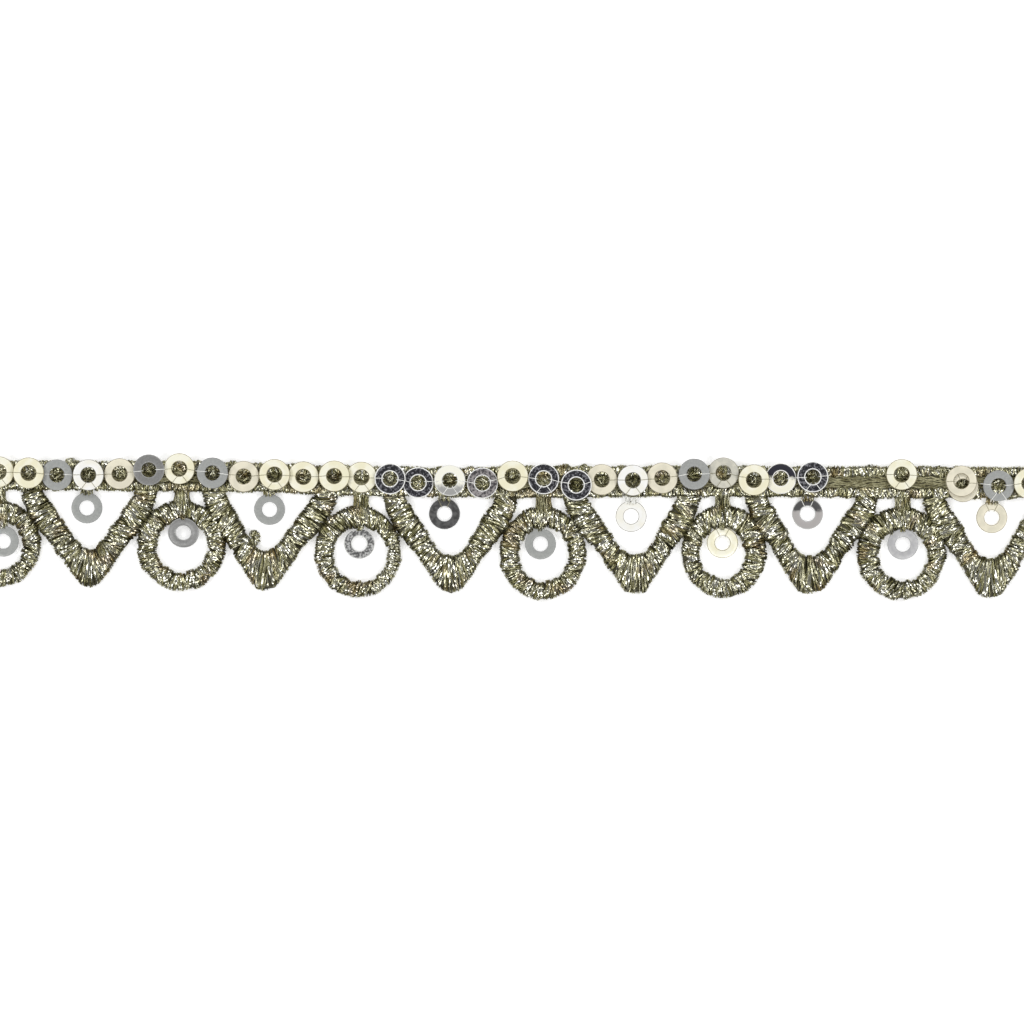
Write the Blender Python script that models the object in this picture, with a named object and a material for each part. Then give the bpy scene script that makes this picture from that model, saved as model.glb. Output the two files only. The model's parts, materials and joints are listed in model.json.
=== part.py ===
"""Sequin trim: a cut length of metallic embroidered edging that lies flat, face up.

The embroidery is one piece: a header band with V points and open rings below it, in
satin-stitched bars. Ring sequins are sewn in a row along the header, and one more hangs
in the opening of each point and each ring.

Axes: +X along the trim, +Y from the points towards the header, +Z up from the surface.
Origin: on the flat back of the header, on its middle line, at half the length.
Every size below is in millimetres, and MM turns it into metres.
"""

import math
from collections import namedtuple

import bmesh
import bpy
from mathutils import Vector

MM = 0.001

# Driving dimensions
LENGTH = 144.0
HEADER_THICKNESS = 0.9
RING_THICKNESS = 1.2
STEM_WIDTH = 1.8
SEQUIN_DIAMETER = 4.0
SEQUIN_HOLE = 2.0
SEQUIN_THICKNESS = 0.15

# The lower sequins clear the stitching by CLEARANCE, and each layer clears the one below
CLEARANCE = 0.3
LAYER_STEP = 0.5

# How many sections shape the header and a ring, and how many sides a sequin has
HEADER_STATIONS = 46
RING_STATIONS = 32
SEQUIN_SIDES = 16

# The first bar reaches this far below the surface plane and each later one a little
# further, so that no two undersides meet before the flat back is cut.
FIRST_SINK = 0.30
SINK_STEP = 0.03

# The block that cuts the back flat reaches this far past the header and the tips
CUT_MARGIN = 5.0
TIP_REACH = 17.0

# Cross-sections, as (share of the way across, share of the thickness)
BAR_ACROSS = ((0.0, 0.42), (0.14, 0.85), (0.5, 1.0), (0.86, 0.85), (1.0, 0.42))
HEADER_ACROSS = (
    (0.0, 0.42),
    (0.10, 0.88),
    (0.28, 1.0),
    (0.5, 0.84),
    (0.72, 1.0),
    (0.90, 0.88),
    (1.0, 0.42),
)

# The header's middle line, which wavers a little, and its height there
HeaderRow = namedtuple("HeaderRow", "along line height")
HEADER = (
    HeaderRow(-72.0, 0.30, 3.8),
    HeaderRow(-53.7, 0.25, 3.7),
    HeaderRow(-42.1, 0.20, 4.0),
    HeaderRow(-30.4, -0.05, 3.6),
    HeaderRow(-18.8, -0.45, 3.9),
    HeaderRow(-7.2, -0.60, 3.7),
    HeaderRow(4.4, -0.55, 4.2),
    HeaderRow(16.0, -0.50, 3.9),
    HeaderRow(27.6, -0.45, 4.0),
    HeaderRow(39.2, -0.55, 3.9),
    HeaderRow(50.8, -0.60, 4.1),
    HeaderRow(72.0, -0.70, 4.0),
)

# One side of a V point, from its tip up into the header: where the inner and the outer
# edge of the bar lie, out from the middle and down from the header's lower edge
PointSection = namedtuple("PointSection", "in_out in_down out_out out_down thickness")
POINT_SIDE = (
    PointSection(0.00, 7.68, 0.00, 12.58, 1.20),
    PointSection(0.35, 7.60, 1.25, 12.00, 1.25),
    PointSection(0.80, 7.30, 2.35, 10.65, 1.30),
    PointSection(1.35, 6.75, 3.50, 9.05, 1.30),
    PointSection(1.95, 6.00, 4.40, 7.70, 1.30),
    PointSection(3.05, 4.40, 5.60, 6.20, 1.30),
    PointSection(4.10, 2.90, 6.90, 4.80, 1.25),
    PointSection(5.15, 1.40, 7.90, 3.00, 1.10),
    PointSection(5.85, 0.35, 8.50, 1.70, 0.90),
    PointSection(6.10, -0.40, 8.85, 0.20, 0.80),
    PointSection(6.20, -1.20, 8.90, -1.20, 0.75),
)
MOUTH = 6.10
TIP_ZONE = 1.95
ROUND_ZONE = 1.90
CORNER_OUT = 1.40
CORNER_ZONE = 0.60

# The V points: middle of the opening, half its span at the header, its depth, how far the
# tip leans along the trim, how much longer it is than in POINT_SIDE, how much blunter, how
# much rounder the opening's bottom is, and how far the corners of a flat tip reach down
Point = namedtuple("Point", "middle half_span depth lean longer blunt round flat")
POINTS = (
    Point(-53.8, 6.10, 7.70, 0.05, 0.0, 0.00, 0.10, 0.15),
    Point(-30.4, 6.00, 7.60, -0.7, 0.2, 0.10, 0.35, 0.30),
    Point(-7.15, 6.00, 7.60, 0.1, 0.0, 0.05, 0.50, 0.25),
    Point(16.3, 6.10, 7.50, 0.4, 0.1, 0.10, 0.60, 0.50),
    Point(39.6, 5.85, 7.60, -0.3, 0.0, 0.40, 0.60, 0.30),
    Point(62.6, 5.95, 7.75, 0.0, 0.3, 0.10, 0.55, 0.20),
)

# The rings: middle and radii of the outer edge, then of the opening
Ring = namedtuple("Ring", "along above wide high hole_along hole_above hole_wide hole_high")
RINGS = (
    Ring(-65.9, -8.45, 5.85, 5.65, -65.6, -8.80, 3.40, 3.35),
    Ring(-41.9, -8.75, 5.75, 5.80, -41.8, -9.00, 3.45, 3.40),
    Ring(-19.1, -9.55, 5.60, 5.90, -18.7, -9.90, 3.65, 3.65),
    Ring(4.8, -9.75, 5.60, 6.00, 4.9, -9.90, 3.35, 3.65),
    Ring(28.2, -9.50, 5.50, 6.00, 28.0, -9.80, 3.05, 3.45),
    Ring(51.1, -9.75, 5.75, 6.00, 51.3, -10.10, 3.30, 3.45),
)

# The stem between the header and a ring: how far down it, its width against STEM_WIDTH
StemRow = namedtuple("StemRow", "share waist thickness")
STEM = (
    StemRow(0.00, 1.10, 0.70),
    StemRow(0.45, 1.00, 0.80),
    StemRow(0.70, 0.95, 0.85),
    StemRow(1.00, 1.25, 0.90),
)

# The finishes: base colour, roughness, metallic
FINISHES = {
    "metallic_thread": ((0.42, 0.39, 0.27, 1.0), 0.38, 0.85),
    "champagne_foil": ((0.95, 0.90, 0.74, 1.0), 0.12, 1.0),
    "silver_foil": ((0.45, 0.45, 0.46, 1.0), 0.20, 1.0),
    "dark_foil": ((0.10, 0.10, 0.12, 1.0), 0.15, 1.0),
}
PALE = "champagne_foil"
GREY = "silver_foil"
DARK = "dark_foil"

# The sequins on the header, left to right: middle, layer (the next one up laps over its
# neighbours), tilt about the trim's own direction in degrees, and finish
Sewn = namedtuple("Sewn", "along above layer tilt finish")
HEADER_SEQUINS = (
    Sewn(-69.3, 0.80, 1, 0.0, PALE),
    Sewn(-65.4, 0.75, 0, 0.5, PALE),
    Sewn(-61.5, 0.60, 1, -0.5, PALE),
    Sewn(-57.9, 0.35, 0, 3.0, GREY),
    Sewn(-53.8, 0.35, 1, 0.0, PALE),
    Sewn(-49.8, 0.50, 0, -1.5, PALE),
    Sewn(-46.0, 1.00, 1, 3.5, GREY),
    Sewn(-42.1, 1.15, 0, 0.0, PALE),
    Sewn(-37.8, 0.60, 1, 3.0, GREY),
    Sewn(-33.8, 0.15, 0, -1.5, PALE),
    Sewn(-29.8, 0.40, 1, 0.0, PALE),
    Sewn(-26.1, 0.10, 0, 0.5, PALE),
    Sewn(-22.1, 0.20, 1, 0.0, PALE),
    Sewn(-18.6, 0.05, 0, -0.5, PALE),
    Sewn(-14.9, -0.15, 1, -4.5, DARK),
    Sewn(-11.3, -0.65, 0, -4.0, DARK),
    Sewn(-7.2, -0.35, 1, 1.0, PALE),
    Sewn(-3.0, -0.70, 0, -4.0, DARK),
    Sewn(0.9, 0.20, 1, 0.0, PALE),
    Sewn(4.9, -0.15, 0, -4.5, DARK),
    Sewn(9.1, -0.95, 1, -4.5, DARK),
    Sewn(12.4, -0.25, 0, -2.0, PALE),
    Sewn(16.4, -0.35, 1, 0.0, PALE),
    Sewn(20.2, -0.05, 0, -1.5, PALE),
    Sewn(24.3, 0.45, 1, 3.0, GREY),
    Sewn(28.1, 0.60, 0, -2.5, PALE),
    Sewn(32.0, -0.30, 1, 0.0, PALE),
    Sewn(35.5, -0.10, 0, -3.0, PALE),
    Sewn(39.6, 0.10, 1, -4.5, DARK),
    Sewn(51.1, 0.40, 0, 0.0, PALE),
    Sewn(59.0, -1.15, 0, 0.5, PALE),
    Sewn(58.75, -0.45, 1, -1.0, PALE),
    Sewn(63.6, -1.05, 0, 3.5, GREY),
    Sewn(67.5, -0.75, 1, 0.0, PALE),
)

# The hanging sequins: middle, height of the middle above the surface, tilt that raises the
# edge nearest the header, and finish. The second ring's laps over the bar above it.
Hung = namedtuple("Hung", "name along above up tilt finish")
HUNG_SEQUINS = (
    Hung("point_drop_1", -54.1, -3.90, 0.50, 4.0, GREY),
    Hung("point_drop_2", -30.5, -4.10, 0.50, 4.0, GREY),
    Hung("point_drop_3", -7.9, -4.65, 0.50, -3.0, DARK),
    Hung("point_drop_4", 16.2, -5.00, 0.50, 0.0, PALE),
    Hung("point_drop_5", 39.0, -4.65, 0.50, -4.0, GREY),
    Hung("point_drop_6", 62.8, -5.15, 0.50, 1.5, PALE),
    Hung("ring_drop_1", -64.9, -8.20, 0.60, 6.0, GREY),
    Hung("ring_drop_2", -41.6, -7.10, 0.95, 16.5, GREY),
    Hung("ring_drop_3", -18.9, -8.50, 0.60, 6.0, GREY),
    Hung("ring_drop_4", 4.5, -8.55, 0.60, 5.0, GREY),
    Hung("ring_drop_5", 28.0, -8.40, 0.70, 10.0, PALE),
    Hung("ring_drop_6", 51.3, -8.60, 0.70, 10.0, GREY),
)

# A stitched edge swells in and out along its bar in two waves: how far, the radians from
# one section to the next, and the share of the bar's own phase
Wave = namedtuple("Wave", "reach step phase")
EDGE_WAVES = (Wave(0.10, 2.3, 1.0), Wave(0.06, 3.7, 2.0))

# The phases of the header's two edges, the change of phase from one point or ring to the
# next, and how much of a bar's swelling its inner or sewn-down edge shows
HEADER_LOWER_PHASE = 0.4
HEADER_UPPER_PHASE = 1.7
POINT_PHASE = 1.3
RING_PHASE = 0.9
HELD_EDGE = 0.6


def swell(station, phase):
    """How far the edge of uneven satin stitch stands out at a section of a bar."""
    return sum(wave.reach * math.sin(wave.step * station + wave.phase * phase) for wave in EDGE_WAVES)


def header_at(along):
    """The header's middle line and height at a place along the trim."""
    after = next(k for k in range(1, len(HEADER)) if along <= HEADER[k].along)
    left, right = HEADER[after - 1], HEADER[after]
    share = (along - left.along) / (right.along - left.along)
    eased = share * share * (3.0 - 2.0 * share)
    line = left.line + (right.line - left.line) * eased
    height = left.height + (right.height - left.height) * eased
    return line, height


def clear_scene():
    for obj in list(bpy.data.objects):
        bpy.data.objects.remove(obj)


def finish_material(name):
    colour, roughness, metallic = FINISHES[name]
    material = bpy.data.materials.new(name)
    material.use_nodes = True
    material.diffuse_color = colour
    shader = material.node_tree.nodes["Principled BSDF"]
    shader.inputs["Base Color"].default_value = colour
    shader.inputs["Roughness"].default_value = roughness
    shader.inputs["Metallic"].default_value = metallic
    return material


def add_object(name, mesh):
    obj = bpy.data.objects.new(name, mesh)
    bpy.context.scene.collection.objects.link(obj)
    return obj


def bar(name, sections, across, sink, closed=False):
    """A stitched bar swept through its sections, each (one edge, other edge, thickness)."""
    shape = bmesh.new()
    loops = []
    for start, end, thickness in sections:
        low, high = Vector(start), Vector(end)
        profile = [(*low.lerp(high, share), tall * thickness) for share, tall in across]
        profile += [(*high, -sink), (*low, -sink)]
        loops.append([shape.verts.new(Vector(point) * MM) for point in profile])
    pairs = list(zip(loops, loops[1:]))
    if closed:
        pairs.append((loops[-1], loops[0]))
    count = len(loops[0])
    for here, there in pairs:
        for k in range(count):
            after = (k + 1) % count
            shape.faces.new((here[k], here[after], there[after], there[k]))
    if not closed:
        shape.faces.new(loops[0])
        shape.faces.new(loops[-1])
    bmesh.ops.recalc_face_normals(shape, faces=shape.faces)
    mesh = bpy.data.meshes.new(name)
    shape.to_mesh(mesh)
    shape.free()
    return add_object(name, mesh)


def header_sections():
    sections = []
    for k in range(HEADER_STATIONS + 1):
        along = LENGTH * (k / HEADER_STATIONS - 0.5)
        line, height = header_at(along)
        lower = (along, line - height / 2 + HELD_EDGE * swell(k, HEADER_LOWER_PHASE))
        upper = (along, line + height / 2 + swell(k, HEADER_UPPER_PHASE))
        sections.append((lower, upper, HEADER_THICKNESS))
    return sections


def rounding(out):
    """How much of a point's rounding its opening shows at a place out from the middle."""
    peak = ROUND_ZONE / math.sqrt(2.0)
    return out / peak * math.exp(0.5 - (out / ROUND_ZONE) ** 2)


def corner(out):
    """How much of a flat tip's corner shows at a place out from the middle."""
    return math.exp(-(((out - CORNER_OUT) / CORNER_ZONE) ** 2))


def point_sections(point, phase):
    """Sections of a V point from the header, down to its tip and up to the header again."""
    line, height = header_at(point.middle)
    lower_edge = line - height / 2
    spread = point.half_span / MOUTH
    stretch = point.depth / POINT_SIDE[0].in_down
    places = [(-1, row) for row in reversed(POINT_SIDE)] + [(1, row) for row in POINT_SIDE[1:]]
    sections = []
    for station, (side, row) in enumerate(places):
        down = row.in_down * stretch
        tip_share = max(0.0, 1.0 - row.in_out / TIP_ZONE)
        width = Vector((row.out_out - row.in_out, row.out_down - row.in_down))
        width += width.normalized() * (swell(station, phase) + point.longer * tip_share)
        width.x *= 1.0 + point.blunt * tip_share
        width.y += point.flat * corner(row.out_out)
        along = point.middle + point.lean * down / point.depth + side * row.in_out * spread
        inner = (along + side * point.round * rounding(row.in_out), lower_edge - down)
        outer = (along + side * width.x, lower_edge - down - width.y)
        sections.append((inner, outer, row.thickness))
    return sections


def ring_sections(ring, phase):
    sections = []
    for k in range(RING_STATIONS):
        angle = 2.0 * math.pi * k / RING_STATIONS
        across, up = math.sin(angle), math.cos(angle)
        ripple = swell(k, phase)
        hole = (ring.hole_along + (ring.hole_wide - HELD_EDGE * ripple) * across,
                ring.hole_above + (ring.hole_high - HELD_EDGE * ripple) * up)
        edge = (ring.along + (ring.wide + ripple) * across,
                ring.above + (ring.high + ripple) * up)
        sections.append((hole, edge, RING_THICKNESS))
    return sections


def stem_sections(ring):
    """Sections of a ring's stem, from inside the header to the middle of the ring's bar."""
    line, height = header_at(ring.along)
    top = line - height / 4
    bottom = (ring.above + ring.high + ring.hole_above + ring.hole_high) / 2
    sections = []
    for row in STEM:
        above = top + (bottom - top) * row.share
        half = STEM_WIDTH * row.waist / 2
        left, right = ring.hole_along - half, ring.hole_along + half
        sections.append(((left, above), (right, above), row.thickness))
    return sections


def stand_by(helper):
    """Marks a helper that only shapes another piece."""
    helper.hide_render = True
    helper.display_type = "WIRE"


def combine(target, helper, operation):
    modifier = target.modifiers.new(helper.name, "BOOLEAN")
    modifier.object = helper
    modifier.operation = operation
    modifier.solver = "EXACT"
    stand_by(helper)


def surface_cutter(depth):
    """A block under the whole trim, which cuts its back level with the surface."""
    reach = LENGTH / 2 + CUT_MARGIN
    low = -TIP_REACH - CUT_MARGIN
    sections = [((-reach, low), (-reach, CUT_MARGIN), 0.0), ((reach, low), (reach, CUT_MARGIN), 0.0)]
    return bar("below_surface", sections, ((0.0, 0.0), (1.0, 0.0)), depth)


def embroidery():
    """The one-piece embroidery: header, V points, rings and stems, joined and cut flat behind."""
    lace = bar("lace", header_sections(), HEADER_ACROSS, FIRST_SINK)
    lace.data.materials.append(finish_material("metallic_thread"))
    shapes = [(f"point_bar_{n}", point_sections(point, POINT_PHASE * n), False)
              for n, point in enumerate(POINTS, 1)]
    shapes += [(f"ring_bar_{n}", ring_sections(ring, RING_PHASE * n), True)
               for n, ring in enumerate(RINGS, 1)]
    shapes += [(f"stem_bar_{n}", stem_sections(ring), False) for n, ring in enumerate(RINGS, 1)]
    for n, (name, sections, closed) in enumerate(shapes, 1):
        sink = FIRST_SINK + SINK_STEP * n
        combine(lace, bar(name, sections, BAR_ACROSS, sink, closed), "UNION")
    combine(lace, surface_cutter(FIRST_SINK + SINK_STEP * (len(shapes) + 1)), "DIFFERENCE")


def sequin_mesh(name, material):
    """A flat ring stamped from film: a rectangle turned about the ring's own axis."""
    shape = bmesh.new()
    half = SEQUIN_THICKNESS / 2
    corners = [(SEQUIN_HOLE / 2, -half), (SEQUIN_DIAMETER / 2, -half),
               (SEQUIN_DIAMETER / 2, half), (SEQUIN_HOLE / 2, half)]
    verts = [shape.verts.new(Vector((radius, 0.0, up)) * MM) for radius, up in corners]
    edges = [shape.edges.new((verts[k], verts[(k + 1) % 4])) for k in range(4)]
    bmesh.ops.spin(shape, geom=verts + edges, cent=(0, 0, 0), axis=(0, 0, 1),
                   angle=2 * math.pi, steps=SEQUIN_SIDES, use_merge=True)
    bmesh.ops.remove_doubles(shape, verts=shape.verts, dist=0.001 * MM)
    bmesh.ops.recalc_face_normals(shape, faces=shape.faces)
    mesh = bpy.data.meshes.new(name)
    shape.to_mesh(mesh)
    shape.free()
    mesh.materials.append(material)
    mesh.shade_smooth()
    mesh.set_sharp_from_angle(angle=math.radians(40.0))
    return mesh


def place_sequin(name, mesh, along, above, up, tilt):
    sequin = add_object(name, mesh)
    sequin.location = Vector((along, above, up)) * MM
    sequin.rotation_euler = (math.radians(tilt), 0.0, 0.0)


def sequins():
    meshes = {name: sequin_mesh(f"sequin_{name}", finish_material(name))
              for name in (PALE, GREY, DARK)}
    lowest = HEADER_THICKNESS + CLEARANCE + SEQUIN_THICKNESS / 2
    for n, sewn in enumerate(HEADER_SEQUINS, 1):
        up = lowest + LAYER_STEP * sewn.layer
        place_sequin(f"sequin_{n:02d}", meshes[sewn.finish], sewn.along, sewn.above, up, sewn.tilt)
    for hung in HUNG_SEQUINS:
        place_sequin(hung.name, meshes[hung.finish], hung.along, hung.above, hung.up, hung.tilt)


clear_scene()
embroidery()
sequins()
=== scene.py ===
"""Looks of the sequin trim: metallic thread wound round every bar, film sequins and their stitches.

Sizes are in millimetres, and MM turns them into metres. +X runs along the trim, +Y from the
points towards the header, and +Z up out of the face.
"""
import json
import math
from collections import namedtuple

import bmesh
import bpy
import numpy as np
from mathutils import Matrix, Vector


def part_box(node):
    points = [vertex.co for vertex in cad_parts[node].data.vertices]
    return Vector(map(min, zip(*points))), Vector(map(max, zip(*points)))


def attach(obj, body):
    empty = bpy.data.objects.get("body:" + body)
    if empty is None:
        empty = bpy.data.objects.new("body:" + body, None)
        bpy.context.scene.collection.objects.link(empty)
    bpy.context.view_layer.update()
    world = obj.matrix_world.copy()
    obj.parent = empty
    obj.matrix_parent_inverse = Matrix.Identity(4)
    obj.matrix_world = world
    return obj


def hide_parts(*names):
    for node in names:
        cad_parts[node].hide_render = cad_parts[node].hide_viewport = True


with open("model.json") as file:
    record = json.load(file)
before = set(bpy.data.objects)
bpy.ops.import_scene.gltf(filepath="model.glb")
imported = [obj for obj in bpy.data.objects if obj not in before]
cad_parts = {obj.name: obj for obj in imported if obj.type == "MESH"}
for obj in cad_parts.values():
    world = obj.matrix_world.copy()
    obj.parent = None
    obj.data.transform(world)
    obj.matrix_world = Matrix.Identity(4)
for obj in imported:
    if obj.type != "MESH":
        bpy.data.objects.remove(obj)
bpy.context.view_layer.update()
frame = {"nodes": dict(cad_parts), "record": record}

MM = 0.001


# The camera looks straight down on the trim, which lies face up and runs off both sides of
# the picture. A long lens keeps the bars' sides out of sight.
VIEW_WIDTH = 132.13
VIEW_CENTRE = (0.82, -4.43)
SCALE_PLANE = 1.2
LENS = 150.0
SENSOR = 36.0

camera_data = bpy.data.cameras.new("camera")
camera_data.lens = LENS
camera_data.sensor_width = SENSOR
camera_data.clip_start = 0.01
camera_data.clip_end = 20.0
camera = bpy.data.objects.new("camera", camera_data)
bpy.context.scene.collection.objects.link(camera)
camera.location = Vector((*VIEW_CENTRE, SCALE_PLANE + VIEW_WIDTH * LENS / SENSOR)) * MM
bpy.context.scene.camera = camera


# The ground of the embroidery: the dense felted thread under the bright strands. It is the
# whole trim's form, a little thinner than the solid, so that the strands lie on it. Its
# near-black colour is partly the dark thread and partly painted shade in the gaps between strands.
GROUND_SINK = 0.17
GROUND_FLOOR = 0.10
GROUND_AND_GAP_SHADE_COLOUR = (0.035, 0.031, 0.015)


class Signal:
    """A shader socket that can be added, subtracted and multiplied like a number."""

    def __init__(self, finish, socket):
        self.finish = finish
        self.socket = socket

    def calculate(self, operation, first, second):
        return self.finish.node("Math", {"operation": operation}, {0: first, 1: second})

    def __add__(self, other):
        return self.calculate("ADD", self, other)

    def __sub__(self, other):
        return self.calculate("SUBTRACT", self, other)

    def __rsub__(self, other):
        return self.calculate("SUBTRACT", other, self)

    def __mul__(self, other):
        return self.calculate("MULTIPLY", self, other)

    def __gt__(self, other):
        return self.calculate("GREATER_THAN", self, other)

    def __lt__(self, other):
        return self.calculate("LESS_THAN", self, other)

    __radd__ = __add__
    __rmul__ = __mul__


class Finish:
    """A material built round one Principled BSDF, whose constants are set on its sockets."""

    def __init__(self, name, **constants):
        self.material = bpy.data.materials.new(name)
        self.material.use_nodes = True
        self.tree = self.material.node_tree
        self.surface = self.tree.nodes["Principled BSDF"]
        for socket, value in constants.items():
            self.surface.inputs[socket.replace("_", " ")].default_value = value

    def node(self, kind, settings=None, inputs=None, output=0):
        made = self.tree.nodes.new("ShaderNode" + kind)
        for key, value in (settings or {}).items():
            if key == "stops":
                self.fill_ramp(made.color_ramp, value)
            else:
                setattr(made, key, value)
        for key, value in (inputs or {}).items():
            if isinstance(value, Signal):
                self.tree.links.new(value.socket, made.inputs[key])
            else:
                made.inputs[key].default_value = value
        return Signal(self, made.outputs[output])

    def fill_ramp(self, ramp, stops):
        while len(ramp.elements) < len(stops):
            ramp.elements.new(1.0)
        for element, (place, colour) in zip(ramp.elements, stops):
            element.position = place
            element.color = (*colour, 1.0)

    def drive(self, **signals):
        for socket, signal in signals.items():
            self.tree.links.new(signal.socket, self.surface.inputs[socket.replace("_", " ")])

    def place(self):
        return self.node("TexCoord", output="Object")

    def speckle(self, size, detail=2.0):
        """Noise whose grains are about this many millimetres across, from 0 to 1."""
        return self.node("TexNoise", None, {"Vector": self.place(), "Scale": 1.0 / (size * MM), "Detail": detail})

    def blend(self, share, low, high):
        """A colour between two, by a share from 0 to 1."""
        mix = self.tree.nodes.new("ShaderNodeMix")
        mix.data_type = "RGBA"
        sockets = {"Factor": share, "A": low, "B": high}
        for socket in mix.inputs:
            value = sockets.get(socket.name)
            if value is None or not socket.enabled:
                continue
            if isinstance(value, Signal):
                self.tree.links.new(value.socket, socket)
            else:
                socket.default_value = (*value, 1.0) if socket.name in "AB" else value
        return Signal(self, next(socket for socket in mix.outputs if socket.enabled))

    def relief(self, height, depth):
        """A normal from a height between 0 and 1 that stands for this many millimetres."""
        return self.node("Bump", None, {"Height": height, "Strength": 0.6, "Distance": depth * MM})


def activate(obj):
    bpy.ops.object.select_all(action="DESELECT")
    obj.select_set(True)
    bpy.context.view_layer.objects.active = obj


def finish_piece(piece, finish, slot, *nodes):
    """Gives a piece its material, lets it ride, and hides the nodes it stands for. The slot is not used."""
    piece.data.materials.clear()
    piece.data.materials.append(finish.material)
    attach(piece, "root")
    if nodes:
        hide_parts(*nodes)


# The ground's colour runs by a grain from near-black, painted shade in the gaps between strands, to dark olive thread.
felt = Finish("felted_ground_and_gap_shade", Roughness=0.62, Metallic=0.25)
felt_grain = felt.speckle(0.16)
felt.drive(
    Base_Color=felt.blend(felt_grain, GROUND_AND_GAP_SHADE_COLOUR, (0.12, 0.11, 0.06)),
    Normal=felt.relief(felt_grain, 0.06),
)

ground = bpy.data.objects.new("ground", frame["nodes"]["lace"].data.copy())
bpy.context.scene.collection.objects.link(ground)
activate(ground)
shell = bmesh.new()
shell.from_mesh(ground.data)
bmesh.ops.remove_doubles(shell, verts=shell.verts, dist=0.001 * MM)
shell.normal_update()
steps = [(vert, vert.normal.copy()) for vert in shell.verts]
for vert, normal in steps:
    vert.co -= normal * GROUND_SINK * MM
    vert.co.z = max(vert.co.z, GROUND_FLOOR * MM)
shell.to_mesh(ground.data)
shell.free()
ground.data.shade_smooth()
finish_piece(ground, felt, "metallic_thread", "lace")


# The V points: two arms of satin stitch that meet in a blunt tip, wound with flat strands of
# metallic film that twist as they cross, so that each one glints over a short length only.
STRAND_WIDTH = 0.25
STRAND_THICKNESS = 0.10
STRAND_SIDES = 6
WRAP_SEGMENTS = 12
FACE_SEGMENTS = 7
SHORT_SEGMENTS = 5
FACE_REACH = 0.62
LUMP_LENGTH = 0.85
CRINKLE = 0.02
WANDER = 0.055
SIDE_HEIGHT = 0.38
BACK_HEIGHT = 0.045

HeaderRow = namedtuple("HeaderRow", "along line height")
HEADER = (
    HeaderRow(-72.0, 0.30, 3.8),
    HeaderRow(-53.7, 0.25, 3.7),
    HeaderRow(-42.1, 0.20, 4.0),
    HeaderRow(-30.4, -0.05, 3.6),
    HeaderRow(-18.8, -0.45, 3.9),
    HeaderRow(-7.2, -0.60, 3.7),
    HeaderRow(4.4, -0.55, 4.2),
    HeaderRow(16.0, -0.50, 3.9),
    HeaderRow(27.6, -0.45, 4.0),
    HeaderRow(39.2, -0.55, 3.9),
    HeaderRow(50.8, -0.60, 4.1),
    HeaderRow(72.0, -0.70, 4.0),
)

PointSection = namedtuple("PointSection", "in_out in_down out_out out_down thickness")
POINT_SIDE = (
    PointSection(0.00, 7.68, 0.00, 12.58, 1.20),
    PointSection(0.35, 7.60, 1.25, 12.00, 1.25),
    PointSection(0.80, 7.30, 2.35, 10.65, 1.30),
    PointSection(1.35, 6.75, 3.50, 9.05, 1.30),
    PointSection(1.95, 6.00, 4.40, 7.70, 1.30),
    PointSection(3.05, 4.40, 5.60, 6.20, 1.30),
    PointSection(4.10, 2.90, 6.90, 4.80, 1.25),
    PointSection(5.15, 1.40, 7.90, 3.00, 1.10),
    PointSection(5.85, 0.35, 8.50, 1.70, 0.90),
    PointSection(6.10, -0.40, 8.85, 0.20, 0.80),
)
MOUTH = 6.10
TIP_ZONE = 1.95
ROUND_ZONE = 1.90
CORNER_OUT = 1.40
CORNER_ZONE = 0.60

Point = namedtuple("Point", "middle half_span depth lean longer blunt round flat")
POINTS = (
    Point(-53.8, 6.10, 7.70, 0.05, 0.0, 0.00, 0.10, 0.15),
    Point(-30.4, 6.00, 7.60, -0.7, 0.2, 0.10, 0.35, 0.30),
    Point(-7.15, 6.00, 7.60, 0.1, 0.0, 0.05, 0.50, 0.25),
    Point(16.3, 6.10, 7.50, 0.4, 0.1, 0.10, 0.60, 0.50),
    Point(39.6, 5.85, 7.60, -0.3, 0.0, 0.40, 0.60, 0.30),
    Point(62.6, 5.95, 7.75, 0.0, 0.3, 0.10, 0.55, 0.20),
)


def header_at(along):
    """The header's middle line and height at places along the trim."""
    places = [row.along for row in HEADER]
    line = np.interp(along, places, [row.line for row in HEADER])
    height = np.interp(along, places, [row.height for row in HEADER])
    return line, height


class Bar:
    """A bar that is wound with strands: its two edges and its thickness, station by station."""

    def __init__(self, sections, closed=False):
        inner = np.array([section[0] for section in sections])
        outer = np.array([section[1] for section in sections])
        rise = np.array([section[2] for section in sections])
        rows = np.column_stack([inner, outer, rise])
        if closed:
            rows = np.vstack([rows, rows[:1]])
        middle = (rows[:, 0:2] + rows[:, 2:4]) / 2
        stations = np.concatenate([[0.0], np.cumsum(np.linalg.norm(np.diff(middle, axis=0), axis=1))])
        self.length = stations[-1]
        self.closed = closed
        fine = np.linspace(0.0, self.length, 400)
        table = np.column_stack([np.interp(fine, stations, column) for column in rows.T])
        kernel = np.hanning(19)
        kernel /= kernel.sum()
        pad = len(kernel) // 2
        if closed:
            padded = np.vstack([table[-pad - 1:-1], table, table[1:pad + 1]])
        else:
            before = 2 * table[:1] - table[pad:0:-1]
            after = 2 * table[-1:] - table[-2:-pad - 2:-1]
            padded = np.vstack([before, table, after])
        smooth = [np.convolve(column, kernel, mode="valid") for column in padded.T]
        self.fine = fine
        self.table = np.column_stack(smooth)

    def at(self, station):
        """Inner edge, outer edge and thickness at stations, in millimetres."""
        if self.closed:
            station = np.mod(station, self.length)
        found = [np.interp(station, self.fine, column) for column in self.table.T]
        return np.stack(found[0:2], -1), np.stack(found[2:4], -1), found[4]


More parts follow.
